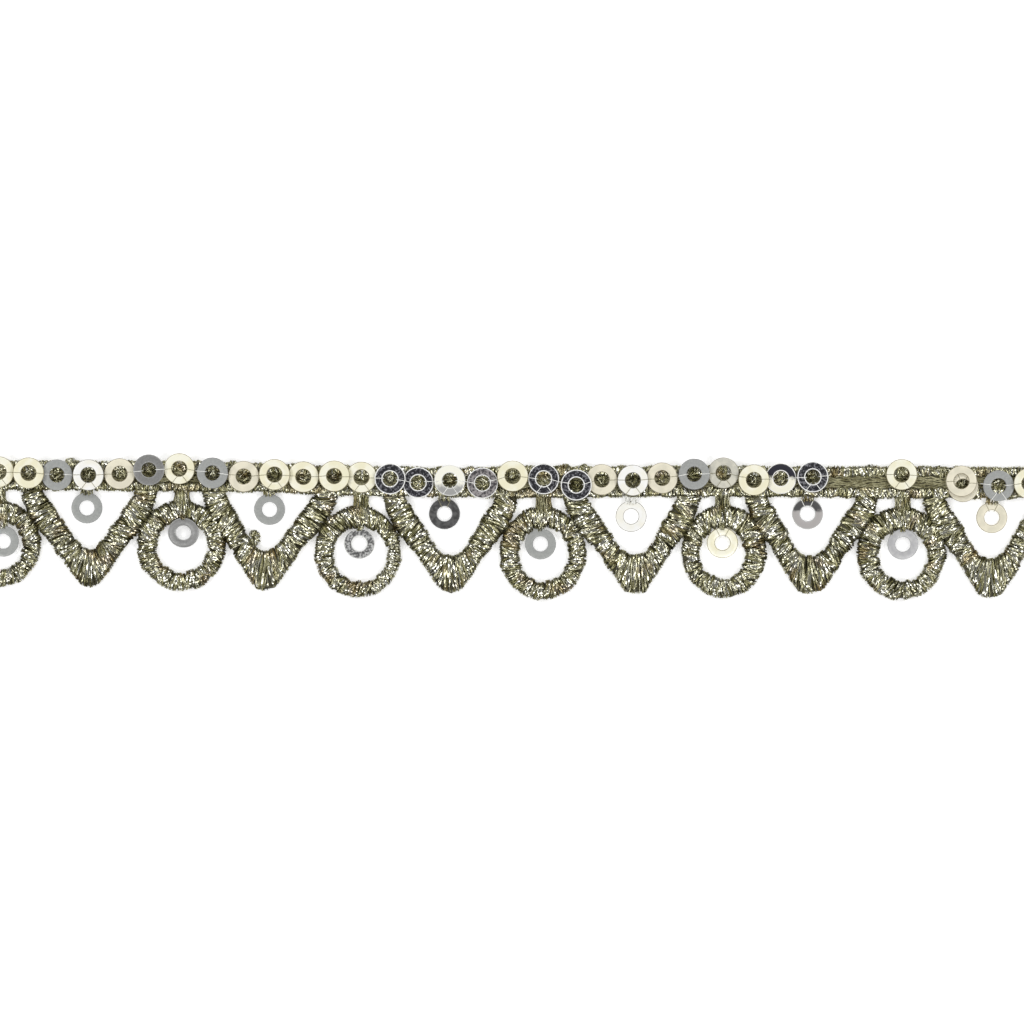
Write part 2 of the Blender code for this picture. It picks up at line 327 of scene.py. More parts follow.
def straight_strand(segments, strip=False):
    """One length of thread or of flat strip along X, from 0 to 1, cut into short segments."""
    bpy.ops.object.select_all(action="DESELECT")
    if strip:
        bpy.ops.mesh.primitive_cube_add(size=1.0)
    else:
        bpy.ops.mesh.primitive_cylinder_add(
            vertices=STRAND_SIDES, radius=0.5, depth=1.0, rotation=(0.0, math.radians(90.0), 0.0)
        )
        bpy.ops.object.transform_apply(location=False, rotation=True, scale=False)
    strand = bpy.context.object
    for item in [*strand.data.vertices, *strand.data.polygons]:
        item.select = False
    for edge in strand.data.edges:
        ends = [strand.data.vertices[k].co.x for k in edge.vertices]
        edge.select = abs(ends[0] - ends[1]) > 0.5
    bpy.context.tool_settings.mesh_select_mode = (False, True, False)
    bpy.ops.object.mode_set(mode="EDIT")
    bpy.ops.mesh.subdivide(number_cuts=segments - 1)
    bpy.ops.mesh.select_all(action="SELECT")
    bpy.ops.mesh.quads_convert_to_tris()
    bpy.ops.object.mode_set(mode="OBJECT")
    corners = np.array([tuple(vert.co) for vert in strand.data.vertices])
    faces = np.array([tuple(face.vertices) for face in strand.data.polygons])
    mesh = strand.data
    bpy.data.objects.remove(strand)
    bpy.data.meshes.remove(mesh)
    corners[:, 0] += 0.5
    return corners, faces


WRAP = straight_strand(WRAP_SEGMENTS)
ACROSS = straight_strand(FACE_SEGMENTS)
SHORT = straight_strand(SHORT_SEGMENTS)
STRIP = straight_strand(SHORT_SEGMENTS, strip=True)


def thread_mesh(name, layers):
    """Joins layers of strands, each (strand, points by strand and corner, tones), in one object."""
    points, faces, tones = [], [], []
    start = 0
    for (_, strand_faces), places, shades in layers:
        strands, corners = places.shape[:2]
        shift = start + corners * np.arange(strands)
        faces.append((strand_faces[None] + shift[:, None, None]).reshape(-1, 3))
        points.append(places.reshape(-1, 3) * MM)
        tones.append(np.repeat(shades, corners))
        start += strands * corners
    points, faces, tones = np.concatenate(points), np.concatenate(faces), np.concatenate(tones)
    mesh = bpy.data.meshes.new(name)
    mesh.vertices.add(len(points))
    mesh.vertices.foreach_set("co", points.astype(np.float32).ravel())
    mesh.loops.add(faces.size)
    mesh.loops.foreach_set("vertex_index", faces.astype(np.int32).ravel())
    mesh.polygons.add(len(faces))
    mesh.polygons.foreach_set("loop_start", np.arange(0, faces.size, 3, dtype=np.int32))
    tone = mesh.attributes.new("tone", "FLOAT", "POINT")
    tone.data.foreach_set("value", tones.astype(np.float32))
    mesh.update(calc_edges=True)
    piece = bpy.data.objects.new(name, mesh)
    bpy.context.scene.collection.objects.link(piece)
    activate(piece)
    bpy.ops.object.shade_smooth_by_angle(angle=math.radians(75.0))
    return piece


def lay_strand(strand, path, sideways, width, thickness, turn):
    """Places a strand's corners on paths, which give (strand, corner) arrays of points."""
    corners = strand[0]
    along = corners[:, 0]
    step = 0.01
    ahead = path(np.minimum(along + step, 1.0))
    behind = path(np.maximum(along - step, 0.0))
    tangent = ahead - behind
    tangent /= np.linalg.norm(tangent, axis=-1, keepdims=True)
    side = np.broadcast_to(sideways, tangent.shape)
    up = np.cross(side, tangent)
    up /= np.linalg.norm(up, axis=-1, keepdims=True)
    side = np.cross(tangent, up)
    angle = turn(along)[..., None]
    flat = np.cos(angle) * side + np.sin(angle) * up
    proud = np.cos(angle) * up - np.sin(angle) * side
    across = corners[:, 1] * width[:, None]
    through = corners[:, 2] * thickness
    return path(along) + flat * across[..., None] + proud * through[None, :, None]


def random_tones(rng, count):
    """Most strands are olive gold, some silver grey and some dark, from 0 to 1."""
    return np.clip(rng.normal(0.48, 0.24, count), 0.0, 1.0)


Layer = namedtuple("Layer", "strand spacing lift slant loose reach shift dive shade broad tilt mixed twist")


def wind(bar, rng, layer, slant, lumps, notch):
    """Strands wound over a bar: right round it for a reach of 1, or over its face alone."""
    count = int(bar.length / layer.spacing)
    reach = layer.reach
    station = (np.arange(count) + rng.uniform(0.25, 0.75, count)) / count * bar.length
    bunches = max(1, int(bar.length / LUMP_LENGTH))
    place = station / bar.length * bunches
    bunch = np.minimum(place.astype(int), bunches - 1)
    swelling = np.sin(math.pi * (place - bunch)) ** 0.5
    inner_out = (lumps.uniform(0.0, notch, bunches)[bunch] + 0.05) * swelling - 0.05
    outer_out = (lumps.uniform(-0.02, 0.12, bunches)[bunch] + 0.05) * swelling - 0.05
    wander = lumps.uniform(0, 2 * math.pi, 4)
    inner_out += WANDER * (np.sin(1.9 * station + wander[0]) + np.sin(3.1 * station + wander[1]))
    outer_out += WANDER * (np.sin(1.6 * station + wander[2]) + np.sin(2.7 * station + wander[3]))
    inner_out += rng.uniform(-0.03, 0.04, count)
    outer_out += rng.uniform(-0.03, 0.04, count)
    raised = layer.lift + lumps.uniform(-0.04, 0.05, bunches)[bunch] + 0.10 * (swelling - 0.7)
    raised += rng.uniform(-0.03, 0.05, count)
    slant *= layer.slant
    lean = lumps.normal(0.0, slant, bunches)[bunch] + rng.normal(0.0, slant * layer.loose, count)
    wave = rng.uniform(1.5, 3.5, count)
    wave_phase = rng.uniform(0, 2 * math.pi, count)
    sway_phase = rng.uniform(0, 2 * math.pi, count)
    rolled = lumps.uniform(0, 2 * math.pi, bunches)[bunch] + rng.normal(0.0, layer.mixed, count)
    first_turn = layer.tilt * np.sin(rolled)
    turns = rng.normal(0.0, layer.twist, count)
    shift = rng.uniform(-layer.shift, layer.shift, count) * math.pi

    def path(share):
        centred = 2.0 * share[None, :] - 1.0
        angle = reach * math.pi * np.sign(centred) * np.abs(centred) ** (1.0 + 0.35 * reach)
        angle = angle + shift[:, None]
        swing = np.sin(angle)
        across = 0.5 + 0.5 * swing
        out = np.where(swing < 0.0, inner_out[:, None], outer_out[:, None])
        sway = 0.08 * layer.loose * np.sin(5.0 * share[None, :] + sway_phase[:, None])
        inner, outer, rise = bar.at(station[:, None] + lean[:, None] * swing * 1.5 + sway)
        span = outer - inner
        size = np.linalg.norm(span, axis=-1, keepdims=True)
        flat = inner + span * across[..., None] + span / size * (out * swing)[..., None]
        face = np.maximum(np.cos(angle), 0.0) ** 0.42
        back = np.maximum(-np.cos(angle), 0.0) ** 0.5
        ripple = CRINKLE * np.sin(wave[:, None] * 2 * math.pi * share[None, :] + wave_phase[:, None])
        ripple = ripple - layer.dive * centred ** 4
        height = SIDE_HEIGHT + (rise + raised[:, None] - SIDE_HEIGHT + ripple) * face
        height -= (SIDE_HEIGHT - BACK_HEIGHT) * back
        return np.concatenate([flat, height[..., None]], -1)

    inner_a, outer_a, _ = bar.at(station - 0.1)
    inner_b, outer_b, _ = bar.at(station + 0.1)
    run = (inner_b + outer_b) - (inner_a + outer_a)
    run /= np.linalg.norm(run, axis=-1, keepdims=True)
    sideways = np.concatenate([run, np.zeros((count, 1))], -1)[:, None, :]

    def turn(share):
        return first_turn[:, None] + turns[:, None] * (share[None, :] - 0.5)

    width = STRAND_WIDTH * layer.broad * rng.uniform(0.75, 1.2, count)
    points = lay_strand(layer.strand, path, sideways, width, STRAND_THICKNESS, turn)
    points[..., 2] = np.maximum(points[..., 2], 0.012)
    # The layer's shade shifts its strands' tones: darker for the lower wraps, painted shade, and lighter for the raised
    # dash strips, a painted highlight.
    return layer.strand, points, np.clip(random_tones(rng, count) + layer.shade, 0.0, 1.0)


# The lower wraps are darker in tone, painted shade under the face strands, and the raised dash strips lighter, a
# painted highlight on their glints; the broad flat patches on top are silver grey.
BAR_LAYERS = (
    Layer(WRAP, 0.22, -0.07, 0.5, 0.7, 1.0, 0.0, 0.0, -0.22, 1.0, 1.5, 6.0, 2.4),
    Layer(ACROSS, 0.22, 0.01, 1.0, 0.5, FACE_REACH, 0.0, 0.0, -0.12, 0.9, 1.0, 6.0, 1.2),
    Layer(STRIP, 0.15, 0.10, 1.2, 0.25, 0.15, 0.30, 0.12, 0.34, 0.62, 0.42, 0.9, 0.25),
    Layer(SHORT, 1.30, 0.05, 1.0, 0.25, 0.16, 0.20, 0.10, 0.40, 1.8, 0.15, 6.0, 0.3),
)


def satin(bar, seed, slant, layers=BAR_LAYERS, notch=0.13):
    """Satin stitch: strands right round a bar, and lighter ones, partly painted highlight, laid unevenly over its face.
    """
    rng = np.random.default_rng(seed)
    return [wind(bar, rng, layer, slant, np.random.default_rng(seed + 1), notch) for layer in layers]


metallic = Finish("metallic_thread", Metallic=0.92)
metallic_tone = metallic.node("Attribute", {"attribute_name": "tone"}, output="Fac")
metallic_fleck = metallic.speckle(0.35)
metallic_patch = metallic.speckle(1.7)
metallic_colour = metallic.node(
    "ValToRGB",
    {"stops": (
        (0.0, (0.040, 0.036, 0.012)),
        (0.3, (0.21, 0.200, 0.095)),
        (0.6, (0.41, 0.395, 0.265)),
        (1.0, (0.53, 0.53, 0.48)),
    )},
    {"Fac": metallic_tone * 0.8 + metallic_fleck * 0.4 + metallic_patch * 0.7 - 0.45},
)
metallic_tarnish = metallic.node(
    "MapRange",
    {"interpolation_type": "SMOOTHSTEP"},
    {"Value": metallic.speckle(2.3, 1.0), 1: 0.52, 2: 0.72, 4: 0.45},
)
metallic.drive(
    Base_Color=metallic.blend(metallic_tarnish, metallic_colour, (0.20, 0.125, 0.045)),
    Roughness=0.38 - metallic_tone * 0.26 + metallic_fleck * 0.12,
)


def rounding(out):
    """How much of a point's rounding its opening shows at a place out from the middle."""
    peak = ROUND_ZONE / math.sqrt(2.0)
    return out / peak * math.exp(0.5 - (out / ROUND_ZONE) ** 2)


def corner(out):
    """How much of a flat tip's corner shows at a place out from the middle."""
    return math.exp(-(((out - CORNER_OUT) / CORNER_ZONE) ** 2))


def point_sections(point):
    """Edges and thickness of a V point from the header, down to its tip and up again."""
    line, height = header_at(point.middle)
    lower_edge = line - height / 2
    spread = point.half_span / MOUTH
    stretch = point.depth / POINT_SIDE[0].in_down
    places = [(-1, row) for row in reversed(POINT_SIDE)] + [(1, row) for row in POINT_SIDE[1:]]
    sections = []
    for side, row in places:
        down = row.in_down * stretch
        tip_share = max(0.0, 1.0 - row.in_out / TIP_ZONE)
        width = Vector((row.out_out - row.in_out, row.out_down - row.in_down))
        width += width.normalized() * point.longer * tip_share
        width.x *= 1.0 + point.blunt * tip_share
        width.y += point.flat * corner(row.out_out)
        along = point.middle + point.lean * down / point.depth + side * row.in_out * spread
        inner = (along + side * point.round * rounding(row.in_out), lower_edge - down)
        outer = (along + side * width.x, lower_edge - down - width.y)
        sections.append((inner, outer, row.thickness))
    return sections


for n, point in enumerate(POINTS, 1):
    threads = thread_mesh(f"point_threads_{n}", satin(Bar(point_sections(point)), 100 + 2 * n, 0.26))
    finish_piece(threads, metallic, "metallic_thread")


# The open rings, wound like the points, with a finer and more regular winding.
Ring = namedtuple("Ring", "along above wide high hole_along hole_above hole_wide hole_high")
RINGS = (
    Ring(-65.9, -8.45, 5.85, 5.65, -65.6, -8.80, 3.40, 3.35),
    Ring(-41.9, -8.75, 5.75, 5.80, -41.8, -9.00, 3.45, 3.40),
    Ring(-19.1, -9.55, 5.60, 5.90, -18.7, -9.90, 3.65, 3.65),
    Ring(4.8, -9.75, 5.60, 6.00, 4.9, -9.90, 3.35, 3.65),
    Ring(28.2, -9.50, 5.50, 6.00, 28.0, -9.80, 3.05, 3.45),
    Ring(51.1, -9.75, 5.75, 6.00, 51.3, -10.10, 3.30, 3.45),
)
RING_THICKNESS = 1.2
RING_STATIONS = 48


def ring_sections(ring):
    sections = []
    for k in range(RING_STATIONS):
        angle = 2.0 * math.pi * k / RING_STATIONS
        across, up = math.sin(angle), math.cos(angle)
        hole = (ring.hole_along + ring.hole_wide * across, ring.hole_above + ring.hole_high * up)
        edge = (ring.along + ring.wide * across, ring.above + ring.high * up)
        sections.append((hole, edge, RING_THICKNESS))
    return sections


for n, ring in enumerate(RINGS, 1):
    bar = Bar(ring_sections(ring), closed=True)
    threads = thread_mesh(f"ring_threads_{n}", satin(bar, 200 + 2 * n, 0.20, notch=0.30))
    finish_piece(threads, metallic, "metallic_thread")


# The header band: a row of short upright stitches along each edge, and between them a
# smoother strip where the carrying yarns run the length of the trim.
HEADER_THICKNESS = 0.9
ROW_HEIGHT = 1.35
HEADER_STEPS = 145
HALF_LENGTH = 72.0
# As on the bars: the lower wraps are darker in tone, painted shade, and the raised dash strips lighter, a painted
# highlight.
ROW_LAYERS = (
    Layer(ACROSS, 0.28, -0.06, 0.5, 0.7, 1.0, 0.0, 0.0, -0.20, 1.0, 1.5, 6.0, 2.4),
    Layer(SHORT, 0.24, 0.02, 1.0, 0.6, 0.45, 0.12, 0.0, -0.04, 0.9, 1.0, 6.0, 1.2),
    Layer(STRIP, 0.26, 0.08, 1.5, 0.5, 0.40, 0.16, 0.10, 0.20, 0.62, 0.42, 0.9, 0.25),
    Layer(SHORT, 1.40, 0.05, 1.0, 0.25, 0.25, 0.20, 0.12, 0.40, 1.6, 0.15, 6.0, 0.3),
)


def row_sections(side):
    """The upper row for side 1 and the lower row for side -1, inner edge first."""
    sections = []
    for along in np.linspace(-HALF_LENGTH, HALF_LENGTH, HEADER_STEPS):
        line, height = header_at(along)
        outer = line + side * height / 2
        sections.append(((along, outer - side * ROW_HEIGHT), (along, outer), HEADER_THICKNESS))
    return sections


for name, side in (("header_upper_row", 1), ("header_lower_row", -1)):
    threads = thread_mesh(name, satin(Bar(row_sections(side)), 300 + side, 0.14, ROW_LAYERS))
    finish_piece(threads, metallic, "metallic_thread")

YARNS = 9
YARN_PITCH = 0.16
YARN_RADIUS = 0.10
YARN_STEPS = 480
YARN_WAVES = ((1.1, 0.06), (2.7, 0.06), (5.3, 0.05))
matte = Finish("running_yarn", Roughness=0.55, Metallic=0.35)
matte_grain = matte.speckle(0.25, 3.0)
matte_patch = matte.speckle(1.6)
matte_share = matte.node(
    "MapRange", {"interpolation_type": "SMOOTHSTEP"}, {"Value": matte_patch * 0.6 + matte_grain * 0.4, 1: 0.34, 2: 0.66}
)
matte.drive(
    Base_Color=matte.blend(matte_share, (0.13, 0.115, 0.045), (0.46, 0.44, 0.27)),
    Normal=matte.relief(matte_grain, 0.08),
)

runner_curve = bpy.data.curves.new("running_yarns", "CURVE")
runner_curve.dimensions = "3D"
runner_curve.bevel_depth = YARN_RADIUS * MM
runner_curve.bevel_resolution = 1
rng = np.random.default_rng(330)
for k in range(YARNS):
    spline = runner_curve.splines.new("POLY")
    spline.points.add(YARN_STEPS - 1)
    phase = rng.uniform(0, 2 * math.pi, 2 * len(YARN_WAVES))
    for point, along in zip(spline.points, np.linspace(-HALF_LENGTH, HALF_LENGTH, YARN_STEPS)):
        line, height = header_at(along)
        across = line + (k - (YARNS - 1) / 2) * YARN_PITCH
        up = 0.74
        for wave, (rate, reach) in enumerate(YARN_WAVES):
            across += reach * math.sin(along * rate + phase[2 * wave])
            up += reach * math.sin(along * rate + phase[2 * wave + 1])
        point.co = (along * MM, across * MM, up * MM, 1.0)
runners = bpy.data.objects.new("running_yarns", runner_curve)
bpy.context.scene.collection.objects.link(runners)
activate(runners)
bpy.ops.object.convert(target="MESH")
runners = bpy.context.object
runners.data.shade_smooth()
finish_piece(runners, matte, "metallic_thread")


# The curls: here and there a thread stands out of the edge in a small wound loop, most of
# them along the header's upper edge and a larger one in the second point's opening.
Curl = namedtuple("Curl", "along above radius width heading sweep")
CURLS = (
    Curl(-56.10, 1.65, 0.50, 0.75, 90.0, 200.0),
    Curl(-51.65, 1.62, 0.24, 0.48, 85.0, 180.0),
    Curl(-39.60, 1.75, 0.24, 0.46, 90.0, 180.0),
    Curl(-35.20, 1.45, 0.45, 0.42, 90.0, 150.0),
    Curl(-31.80, 1.35, 0.20, 0.42, 90.0, 180.0),
    Curl(-23.90, 0.90, 0.20, 0.40, 95.0, 180.0),
    Curl(-4.85, 0.80, 0.26, 0.44, 90.0, 180.0),
    Curl(3.00, 1.15, 0.18, 0.36, 90.0, 180.0),
    Curl(7.70, 1.18, 0.32, 0.44, 80.0, 170.0),
    Curl(10.20, 1.15, 0.36, 0.42, 100.0, 170.0),
    Curl(14.70, 1.00, 0.26, 0.42, 90.0, 180.0),
    Curl(30.40, 1.00, 0.26, 0.42, 90.0, 180.0),
    Curl(47.20, 1.15, 0.24, 0.44, 90.0, 170.0),
    Curl(55.90, 1.05, 0.26, 0.44, 90.0, 170.0),
    Curl(-32.62, -7.78, 0.46, 1.08, -5.0, 300.0),
)
CURL_STATIONS = 13
CURL_THICKNESS = 0.8
# As on the bars: the lower strands are darker in tone, painted shade, and the dash strips lighter, a painted highlight.
CURL_LAYERS = (
    Layer(SHORT, 0.13, -0.02, 0.5, 0.7, 0.60, 0.0, 0.0, -0.18, 1.0, 1.5, 6.0, 1.6),
    Layer(STRIP, 0.22, 0.03, 1.0, 0.4, 0.36, 0.10, 0.08, 0.10, 0.6, 0.42, 1.5, 0.3),
)

turns_of_thread = []
for n, curl in enumerate(CURLS):
    sections = []
    for share in np.linspace(-0.5, 0.5, CURL_STATIONS):
        angle = math.radians(curl.heading + curl.sweep * share)
        aim = Vector((math.cos(angle), math.sin(angle)))
        middle = Vector((curl.along, curl.above))
        inner = middle + aim * max(curl.radius - curl.width / 2, 0.03)
        outer = middle + aim * (curl.radius + curl.width / 2)
        sections.append((tuple(inner), tuple(outer), CURL_THICKNESS))
    turns_of_thread += satin(Bar(sections), 340 + 2 * n, 0.10, CURL_LAYERS, notch=0.05)
curls = thread_mesh("edge_curls", turns_of_thread)
finish_piece(curls, metallic, "metallic_thread")


# The stems: a short bundle of thread that ties each ring up to the header. It comes out from
# under the sequin there, narrows, and fans over the ring's bar.
STEM_TOP = 1.10
STEM_WAIST = 0.74
STEM_FAN = 1.70
STEM_STRANDS = 34
STEM_HEIGHTS = ((0.0, 0.72), (0.35, 0.86), (0.62, 1.28), (0.85, 1.33), (1.0, 1.0))


def bundle(rng, top, bottom, halves, heights, count):
    """Strands side by side from one place to another, in the halves of their spread there."""
    seat = np.linspace(-1.0, 1.0, count) + rng.uniform(-0.10, 0.10, count)
    cross = np.clip(seat + rng.normal(0.0, 0.22, count), -1.1, 1.1)
    lift = rng.uniform(-0.05, 0.07, count)
    phase = rng.uniform(0, 2 * math.pi, count)
    ends = rng.uniform(-0.10, 0.10, count)
    first_turn = rng.uniform(-1.2, 1.2, count)
    turns = rng.normal(0.0, 3.0, count)
    shares, levels = zip(*heights)

    def path(share):
        share = share[None, :]
        half = halves[1] + (halves[0] - halves[1]) * (1.0 - share) ** 3
        half = half + (halves[2] - halves[1]) * share ** 3
        drift = seat[:, None] + (cross - seat)[:, None] * share
        along = top[0] + (bottom[0] - top[0]) * share + drift * half
        above = top[1] + (bottom[1] - top[1]) * share + ends[:, None] * share
        rise = np.interp(share, shares, levels)
        round_off = np.sqrt(np.maximum(1.0 - (0.85 * drift) ** 2, 0.04))
        up = 0.12 + (rise - 0.12) * round_off + lift[:, None]
        up = up + 0.02 * np.sin(9.0 * share + phase[:, None])
        return np.stack([along, above, up], -1)

    def turn(share):
        return first_turn[:, None] + turns[:, None] * (share[None, :] - 0.5)

    sideways = np.array([1.0, 0.0, 0.0])
    width = STRAND_WIDTH * rng.uniform(0.7, 1.1, count)
    points = lay_strand(ACROSS, path, sideways, width, STRAND_THICKNESS, turn)
    points[..., 2] = np.maximum(points[..., 2], 0.012)
    return ACROSS, points, random_tones(rng, count)


for n, ring in enumerate(RINGS, 1):
    rng = np.random.default_rng(400 + n)
    line, height = header_at(ring.hole_along)
    top = (ring.hole_along, line - 0.9)
    bar_top = ring.above + ring.high
    bottom = (ring.hole_along, bar_top - 0.75 * (bar_top - ring.hole_above - ring.hole_high))
    foot = (bottom[0], bar_top - 0.5)
    layers = [
        bundle(rng, top, bottom, (STEM_TOP, STEM_WAIST, STEM_FAN), STEM_HEIGHTS, STEM_STRANDS),
        bundle(rng, top, foot, (STEM_TOP, STEM_WAIST, STEM_TOP), STEM_HEIGHTS[:3], STEM_STRANDS // 2),
        bundle(rng, top, foot, (STEM_TOP, STEM_WAIST, STEM_WAIST), ((0.0, 0.4), (1.0, 0.4)), STEM_STRANDS // 2),
    ]
    threads = thread_mesh(f"stem_threads_{n}", layers)
    finish_piece(threads, metallic, "metallic_thread")


# The sequins: flat rings stamped from thin metallised film, with a rolled rim. Each one's colour
# is a painted reflection, the tone that its own tilt gives it, and both rims carry a painted
# highlight or painted shade for the light that the rim catches.
SEQUIN_RADIUS = 2.0
HOLE_RADIUS = 0.98
FILM = 0.15
BEVEL = 0.04
SEQUIN_SIDES = 64

# Each tone is a painted reflection: face and second are the colours that the film's tilt would reflect, mixed by a
# grain and, on some sequins, from top to bottom.
ReflectionTone = namedtuple("ReflectionTone", "face second rim rim_width grain low high part gloss")
REFLECTION_TONES = {
    "cream": ReflectionTone((0.87, 0.83, 0.61), (0.93, 0.91, 0.76), (0.30, 0.26, 0.15), 0.07, 1.6, 0.38, 0.62, 0, 0.32),
    "beige": ReflectionTone((0.74, 0.70, 0.56), (0.84, 0.79, 0.63), (0.32, 0.28, 0.19), 0.07, 1.4, 0.38, 0.62, 0, 0.32),
    "oyster": ReflectionTone((0.55, 0.54, 0.47), (0.67, 0.65, 0.55), (0.30, 0.28, 0.22), 0.07, 1.0, 0.38, 0.62, 0, 0.32),
    "white": ReflectionTone((0.94, 0.94, 0.92), (0.91, 0.89, 0.80), (0.28, 0.27, 0.24), 0.07, 1.6, 0.38, 0.62, 0, 0.32),
    "silver": ReflectionTone((0.42, 0.42, 0.43), (0.49, 0.49, 0.49), (0.36, 0.36, 0.36), 0.07, 0.5, 0.35, 0.65, 0, 0.36),
    "grey": ReflectionTone((0.315, 0.325, 0.315), (0.375, 0.385, 0.37), (0.27, 0.27, 0.27), 0.07, 0.22, 0.3, 0.7, 0, 0.36),
    "mid_grey": ReflectionTone((0.19, 0.19, 0.185), (0.245, 0.245, 0.24), (0.33, 0.33, 0.32), 0.08, 0.22, 0.3, 0.7, 0, 0.36),
    "charcoal": ReflectionTone((0.045, 0.045, 0.045), (0.11, 0.11, 0.11), (0.15, 0.15, 0.15), 0.08, 0.5, 0.35, 0.65, 0, 0.36),
    "mottled": ReflectionTone((0.09, 0.09, 0.09), (0.50, 0.50, 0.49), (0.66, 0.66, 0.64), 0.10, 0.30, 0.42, 0.60, 0, 0.36),
    "smoky": ReflectionTone((0.42, 0.40, 0.39), (0.07, 0.07, 0.07), (0.45, 0.45, 0.44), 0.10, 0.40, 0.32, 0.56, 1, 0.36),
    "veiled": ReflectionTone((0.92, 0.91, 0.80), (0.36, 0.36, 0.35), (0.74, 0.74, 0.71), 0.10, 0.30, 0.35, 0.80, -1, 0.34),
    "dark": ReflectionTone((0.012, 0.012, 0.016), (0.22, 0.22, 0.24), (0.85, 0.85, 0.83), 0.13, 0.26, 0.48, 0.66, 0, 0.32),
    "smoked": ReflectionTone((0.05, 0.046, 0.05), (0.32, 0.30, 0.30), (0.80, 0.80, 0.78), 0.12, 0.34, 0.42, 0.60, 0, 0.32),
    "two_tone": ReflectionTone((0.89, 0.87, 0.72), (0.02, 0.02, 0.03), (0.85, 0.84, 0.80), 0.12, 0.50, 0.15, 0.45, 1, 0.32),
}
HEADER_REFLECTIONS = (
    "cream", "cream", "cream", "grey", "white", "beige", "mid_grey", "cream", "grey", "beige", "cream", "cream",
    "cream", "cream", "dark", "dark", "veiled", "smoked", "cream", "dark", "dark", "beige", "white", "beige",
    "grey", "oyster", "cream", "two_tone", "dark", "cream", "beige", "beige", "grey", "cream",
)
DROP_REFLECTIONS = {
    "point_drop_1": "grey", "point_drop_2": "grey", "point_drop_3": "charcoal",
    "point_drop_4": "white", "point_drop_5": "smoky", "point_drop_6": "beige",
    "ring_drop_1": "grey", "ring_drop_2": "mid_grey", "ring_drop_3": "mottled",
    "ring_drop_4": "grey", "ring_drop_5": "cream", "ring_drop_6": "silver",
}


def film_finish(name, tone):
    """Metallised film in painted reflection: nearly even in tone, with a faint grain, and a painted highlight or
    painted shade on its rims.
    """
    film = Finish("film_" + name, Metallic=0.12, Roughness=tone.gloss)
    film.surface.inputs["Coat Weight"].default_value = 0.15
    film.surface.inputs["Coat Roughness"].default_value = 0.15
    radius = film.node("Attribute", {"attribute_name": "radius"}, output="Fac")
    # A band of the rim colour along both rims: a painted highlight on dark film and painted shade on pale film.
    painted_outer_rim = radius > SEQUIN_RADIUS - tone.rim_width
    painted_inner_rim = (HOLE_RADIUS + tone.rim_width) > radius
    # The face's painted reflection: a grain and, on some sequins, a split from top to bottom.
    level = film.speckle(tone.grain, 4.0)
    if tone.part:
        height = film.node("Attribute", {"attribute_name": "upper"}, output="Fac")
        level = height * tone.part + level * 0.5
    share = film.node(
        "MapRange", {"interpolation_type": "SMOOTHSTEP"}, {"Value": level, 1: tone.low, 2: tone.high}
    )
    face = film.blend(share, tone.face, tone.second)
    film.drive(Base_Color=film.blend(painted_outer_rim + painted_inner_rim, face, tone.rim))
    return film


films = {name: film_finish(name, tone) for name, tone in REFLECTION_TONES.items()}


def stamped_sequin():
    """One sequin, made flat at the origin: a disc, pierced, with both rims bevelled."""
    bpy.ops.object.select_all(action="DESELECT")
    bpy.ops.mesh.primitive_cylinder_add(vertices=SEQUIN_SIDES, radius=SEQUIN_RADIUS, depth=FILM)
    blank = bpy.context.object
    blank.name = "stamped_sequin"
    bpy.ops.object.mode_set(mode="EDIT")
    bpy.ops.mesh.select_mode(type="FACE")
    bpy.ops.object.mode_set(mode="OBJECT")
    for face in blank.data.polygons:
        face.select = len(face.vertices) > 4
    bpy.ops.object.mode_set(mode="EDIT")
    bpy.ops.mesh.inset(thickness=SEQUIN_RADIUS - HOLE_RADIUS, use_individual=True)
    bpy.ops.mesh.bridge_edge_loops()
    bpy.ops.mesh.select_mode(type="EDGE")
    bpy.ops.mesh.select_all(action="DESELECT")
    bpy.ops.object.mode_set(mode="OBJECT")
    for edge in blank.data.edges:
        low, high = (blank.data.vertices[k].co for k in edge.vertices)
        edge.select = abs(low.z - high.z) < 0.01 and abs(low.xy.length - high.xy.length) < 0.01
    bpy.ops.object.mode_set(mode="EDIT")
    bpy.ops.mesh.bevel(offset=BEVEL, segments=2, affect="EDGES")
    bpy.ops.mesh.select_all(action="SELECT")
    bpy.ops.mesh.normals_make_consistent(inside=False)
    bpy.ops.object.mode_set(mode="OBJECT")
    mesh = blank.data
    radius = mesh.attributes.new("radius", "FLOAT", "POINT")
    for vert in mesh.vertices:
        radius.data[vert.index].value = vert.co.xy.length
    # Height on the sequin, for the painted reflection that splits some sequins from top to bottom.
    upper = mesh.attributes.new("upper", "FLOAT", "POINT")
    for vert in mesh.vertices:
        upper.data[vert.index].value = vert.co.y / SEQUIN_RADIUS
    bpy.ops.object.shade_smooth_by_angle(angle=math.radians(50.0))
    bpy.data.objects.remove(blank)
    return mesh


SEQUIN_MESH = stamped_sequin()


def seat_of(node):
    """The middle of a CAD sequin and the turn that lays a flat one in its plane, in mm."""
    low, high = (Vector(corner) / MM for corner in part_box(node))
    up = Vector((0.0, 0.0, 0.0))
    for face in frame["nodes"][node].data.polygons:
        if face.normal.z > 0.9:
            up += face.normal * face.area
    up.normalize()
    across = Vector((1.0, 0.0, 0.0))
    towards = up.cross(across).normalized()
    turn = Matrix((across, towards, up)).transposed().to_4x4()
    return Matrix.Translation((low + high) / 2) @ turn


def sew_sequin(node, tone, slot):
    seat = seat_of(node)
    piece = bpy.data.objects.new(f"film_{node}", SEQUIN_MESH.copy())
    bpy.context.scene.collection.objects.link(piece)
    piece.data.transform(Matrix.Scale(MM, 4) @ seat)
    finish_piece(piece, films[tone], slot, node)
    return seat


